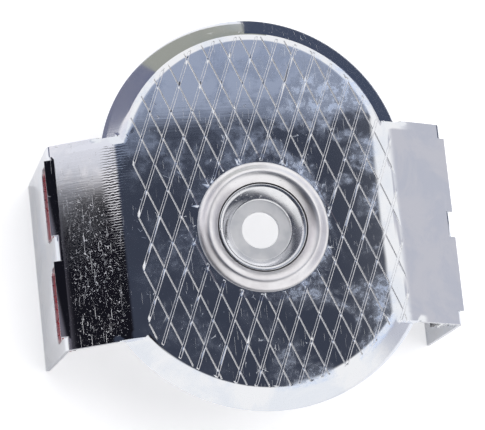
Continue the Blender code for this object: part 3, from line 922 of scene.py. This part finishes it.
red_finish = reflector_finish("red_reflector", (0.62, 0.018, 0.030), (0.42, 0.008, 0.018))
white_finish = reflector_finish("white_reflector", (0.80, 0.82, 0.84), (0.66, 0.69, 0.72))
FRAME_WIDTH = 1.6 * MM
CELL = 1.9 * MM
CELL_SINK = 0.20 * MM
CELL_RISE = 0.14 * MM
PLATE_ROUND = 0.3 * MM
STEP_WIDTH = 0.25 * MM           # plan width of the step down from the frame to the cells
SAME_LEVEL = 1e-6


def cells_of(plate, level):
    return [face for face in plate.faces
            if abs(face.calc_center_median().x - level) < SAME_LEVEL]


def reflector_plate(node, name, way, finish, slot):
    low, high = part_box(node)
    size = high - low
    plate = bmesh.new()
    bmesh.ops.create_cube(plate, size=1.0)
    bmesh.ops.scale(plate, vec=size, verts=plate.verts)
    bmesh.ops.translate(plate, vec=(low + high) / 2, verts=plate.verts)
    bmesh.ops.bevel(plate, geom=list(plate.edges), offset=PLATE_ROUND, offset_type="OFFSET",
                    segments=3, profile=0.5, affect="EDGES", material=-1)
    face = max(plate.faces, key=lambda item: (round(way * item.normal.x, 3), item.calc_area()))
    bmesh.ops.inset_region(plate, faces=[face], thickness=FRAME_WIDTH)
    bmesh.ops.inset_region(plate, faces=[face], thickness=STEP_WIDTH)
    for corner in face.verts:
        corner.co.x -= way * CELL_SINK
    middle = face.calc_center_median()
    for axis, span in ((1, size.y), (2, size.z)):
        count = round((span - 2 * FRAME_WIDTH) / CELL)
        pitch = (span - 2 * (FRAME_WIDTH + STEP_WIDTH + PLATE_ROUND)) / count
        normal = Vector((0.0, 0.0, 0.0))
        normal[axis] = 1.0
        for line in range(1, count):
            place = middle.copy()
            place[axis] += (line - count / 2) * pitch
            bmesh.ops.bisect_plane(plate, geom=parts_of(cells_of(plate, middle.x)),
                                   dist=CUT_REACH, plane_co=place, plane_no=normal)
    bmesh.ops.poke(plate, faces=cells_of(plate, middle.x), offset=CELL_RISE)
    bmesh.ops.recalc_face_normals(plate, faces=plate.faces)
    mesh = bpy.data.meshes.new(name)
    plate.to_mesh(mesh)
    plate.free()
    mesh.materials.append(finish)
    finish_object(name, mesh, slot, node)


for side, way, finish, slot in (("left", -1, red_finish, "red_reflector"),
                                ("right", 1, white_finish, "white_reflector")):
    for end in ("front", "rear"):
        reflector_plate(f"{side}_{end}_reflector", f"{side}_{end}_lens", way, finish, slot)

# %% [markdown]
# ## Backing strips
#
# Behind each pair of reflectors runs a moulded strip.  Its hidden face has shallow pockets
# between ribs, which save plastic on the real part: every panel of the strip is inset and
# pushed in.

# %% Backing finish and strips
def backing_finish():
    finish, tree, shader, place = start_material("backing_plastic", (0.10, 0.10, 0.11), 0.0, 0.5)
    grain = noise(tree, place, 1400.0, 4.0, 0.6)
    tone = mix_color(tree, grain, (0.07, 0.07, 0.08), (0.15, 0.15, 0.16))
    tree.links.new(tone, shader.inputs["Base Color"])
    tree.links.new(ramp(tree, grain, 0.3, 0.7, 0.4, 0.6), shader.inputs["Roughness"])
    tree.links.new(bump(tree, grain, 0.03 * MM), shader.inputs["Normal"])
    return finish


strip_finish = backing_finish()
POCKETS = 8
RIB_HALF = 0.7 * MM
POCKET_DRAFT = 0.12 * MM
POCKET_DEPTH = 0.45 * MM
STRIP_ROUND = 0.1 * MM
SHARP_TURN = math.radians(50.0)


def backing_strip(node, name, way):
    low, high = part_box(node)
    strip = bmesh.new()
    bmesh.ops.create_cube(strip, size=1.0)
    bmesh.ops.scale(strip, vec=high - low, verts=strip.verts)
    bmesh.ops.translate(strip, vec=(low + high) / 2, verts=strip.verts)
    length = high.y - low.y
    for line in range(1, POCKETS):
        bmesh.ops.bisect_plane(strip, geom=parts_of(strip.faces), dist=CUT_REACH,
                               plane_co=(0, low.y + length * line / POCKETS, 0),
                               plane_no=(0, 1, 0))
    inner = [face for face in strip.faces if way * face.normal.x < -0.5]
    bmesh.ops.inset_individual(strip, faces=inner, thickness=RIB_HALF)
    bmesh.ops.inset_individual(strip, faces=inner, thickness=POCKET_DRAFT, depth=-POCKET_DEPTH)
    sharp = [edge for edge in strip.edges if edge.calc_face_angle(0.0) > SHARP_TURN]
    bmesh.ops.bevel(strip, geom=sharp, offset=STRIP_ROUND, offset_type="OFFSET", segments=2,
                    profile=0.5, affect="EDGES", clamp_overlap=True, material=-1)
    mesh = bpy.data.meshes.new(name)
    strip.to_mesh(mesh)
    strip.free()
    mesh.materials.append(strip_finish)
    finish_object(name, mesh, "backing_plastic", node)


for side, way in (("left", -1), ("right", 1)):
    backing_strip(f"{side}_reflector_backing", f"{side}_backing_strip", way)

# %% [markdown]
# ## Floor and studio
#
# A mirror-like sheet shows its surroundings, so the studio is what gives it its tones.  The
# world is a soft tent of light: white all round, with a large dark panel overhead.  The flat
# top mirrors the panel and goes dark, and where it mirrors the slate card behind the panel's
# rear edge it turns bluish.  The bends and skirts tilt away, mirror the tent and go bright.
#
# The floor glows a little for the camera and less for mirrored rays.  It stays pale without
# lighting the marker from below.

# %% Floor
FLOOR_GLOW = 0.42
MIRRORED_SHARE = 0.28            # of that glow, for rays that come from a mirror-like face

floor_mesh = bpy.data.meshes.new("floor")
plane = bmesh.new()
bmesh.ops.create_grid(plane, x_segments=1, y_segments=1, size=3.0)
plane.to_mesh(floor_mesh)
plane.free()
floor = bpy.data.objects.new("floor", floor_mesh)
bpy.context.scene.collection.objects.link(floor)
floor_finish, floor_tree, floor_shader, _ = start_material(
    "floor", (0.86, 0.86, 0.87), 0.0, 0.9)
looking = add_node(floor_tree, "ShaderNodeLightPath")
mirrored = math_node(floor_tree, "MULTIPLY", looking.outputs["Is Glossy Ray"], MIRRORED_SHARE)
seen = math_node(floor_tree, "MAXIMUM", looking.outputs["Is Camera Ray"], mirrored)
glow = math_node(floor_tree, "MULTIPLY", seen, FLOOR_GLOW)
floor_shader.inputs["Emission Color"].default_value = (1.0, 1.0, 1.0, 1.0)
floor_tree.links.new(glow, floor_shader.inputs["Emission Strength"])
floor_mesh.materials.append(floor_finish)

# %% The light tent
world = bpy.data.worlds.new("light_tent")
bpy.context.scene.world = world
world.use_nodes = True
tent = world.node_tree
look = add_node(tent, "ShaderNodeTexCoord")
split = add_node(tent, "ShaderNodeSeparateXYZ", {0: look.outputs["Generated"]})
WAY_X, WAY_Y, WAY_Z = (split.outputs[index] for index in range(3))

WHITE = (1.0, 1.0, 1.0)
PALE = (0.60, 0.60, 0.65)
SLATE = (0.36, 0.41, 0.53)
NAVY = (0.045, 0.053, 0.078)
BLACK = (0.008, 0.008, 0.012)
DUSK = (0.16, 0.15, 0.18)
LEFT_PALE = (0.93, 0.91, 0.94)

# Edges, as one coordinate of the direction from outside to inside: X right, Y rear, Z up.
PANEL_FRONT = (-0.68, -0.50)
PANEL_RIGHT = (0.37, 0.225)
PANEL_LEFT = (-0.97, -0.90)
LOW_FRONT = (-0.30, -0.15)       # in front of this the panel is cut off near the horizon
LOW_EDGE = (0.42, 0.52)
PANEL_REAR = (0.2430, 0.2450)
PANEL_REAR_LEFT = (0.2265, 0.2345)
FAR_LEFT = (-0.50, -0.62)
DUSK_LEFT = (-0.775, -0.815)
PALE_RIGHT = (0.80, 0.93)
SLATE_REAR = (0.44, 0.27)
SLATE_RIGHT = (0.42, 0.26)


def dark_panel():
    """1 on the panel overhead, 0 on the tent round it."""
    high = math_node(tent, "MAXIMUM", ramp(tent, WAY_Y, *LOW_FRONT),
                     ramp(tent, WAY_Z, *LOW_EDGE))
    return product(tent, high, ramp(tent, WAY_Y, *PANEL_FRONT),
                   ramp(tent, WAY_X, *PANEL_RIGHT), ramp(tent, WAY_X, *PANEL_LEFT))


panel = dark_panel()
tone = mix_color(tent, ramp(tent, WAY_X, *PALE_RIGHT), WHITE, PALE)
slate_card = product(tent, ramp(tent, WAY_Y, *SLATE_REAR), ramp(tent, WAY_X, *SLATE_RIGHT))
rear_tone = mix_color(tent, slate_card, tone, SLATE)
far_left = ramp(tent, WAY_X, *FAR_LEFT)
rear_tone = mix_color(tent, far_left, rear_tone, LEFT_PALE)
near_tone = mix_color(tent, far_left, NAVY, BLACK)
near_tone = mix_color(tent, ramp(tent, WAY_X, *DUSK_LEFT), near_tone, DUSK)
rear = mix_color(tent, far_left, ramp(tent, WAY_Y, *PANEL_REAR),
                 ramp(tent, WAY_Y, *PANEL_REAR_LEFT))
panel_tone = mix_color(tent, rear, near_tone, rear_tone)
tone = mix_color(tent, panel, tone, panel_tone)
shown = add_node(tent, "ShaderNodeLightPath")
seen_tone = mix_color(tent, shown.outputs["Is Camera Ray"], tone, WHITE)
tent.links.new(seen_tone, tent.nodes["Background"].inputs["Color"])

# %% [markdown]
# ### Low flags behind the marker
#
# The rear skirt mirrors what stands low behind the marker.  Three curved strips of card, set
# on edge on the floor, give it a lilac, a stone and a blue stretch.  They are hidden from the
# camera and from diffuse light and cast no shadow, so they only exist in reflections.

# %% Flags
FLAG_STEPS = 12


def flag(name, start, end, distance, high, tone):
    """A strip of card round part of a circle; angles in degrees from the rear to the right."""
    work = bmesh.new()
    foot = work.verts.new((distance * math.sin(math.radians(start)),
                           distance * math.cos(math.radians(start)), 0.0))
    head = work.verts.new((foot.co.x, foot.co.y, high))
    edge = work.edges.new((foot, head))
    bmesh.ops.spin(work, geom=[foot, head, edge], cent=(0, 0, 0), axis=(0, 0, 1),
                   angle=math.radians(start - end), steps=FLAG_STEPS)
    mesh = bpy.data.meshes.new(name)
    work.to_mesh(mesh)
    work.free()
    card = bpy.data.materials.new(name)
    card.use_nodes = True
    shader = card.node_tree.nodes["Principled BSDF"]
    shader.inputs["Base Color"].default_value = (0.0, 0.0, 0.0, 1.0)
    shader.inputs["Specular IOR Level"].default_value = 0.0
    shader.inputs["Emission Color"].default_value = (*tone, 1.0)
    shader.inputs["Emission Strength"].default_value = 1.0
    mesh.materials.append(card)
    item = bpy.data.objects.new(name, mesh)
    bpy.context.scene.collection.objects.link(item)
    item.visible_camera = False
    item.visible_diffuse = False
    item.visible_shadow = False


FAR_FLAG = 260 * MM
NEAR_FLAG = 130 * MM
flag("flag_lilac", -75.0, -25.0, FAR_FLAG, 85 * MM, (0.20, 0.21, 0.29))
flag("flag_stone", -25.0, 18.0, FAR_FLAG, 75 * MM, (0.36, 0.37, 0.33))
flag("flag_blue", 9.0, 85.0, NEAR_FLAG, 36 * MM, (0.065, 0.08, 0.125))

# %% A soft overhead light that the sheet doesn't mirror
LAMP_PLACE = Vector((0.35, 0.15, 1.4))

key = bpy.data.lights.new("soft_key", "AREA")
key.shape = "DISK"
key.size = 1.2
key.energy = 11.0
key_lamp = bpy.data.objects.new("soft_key", key)
key_lamp.location = LAMP_PLACE
key_lamp.rotation_mode = "QUATERNION"
key_lamp.rotation_quaternion = (-LAMP_PLACE).to_track_quat("-Z", "Y")
key_lamp.visible_glossy = False
bpy.context.scene.collection.objects.link(key_lamp)

# %% Colour handling
bpy.context.scene.view_settings.view_transform = "Standard"
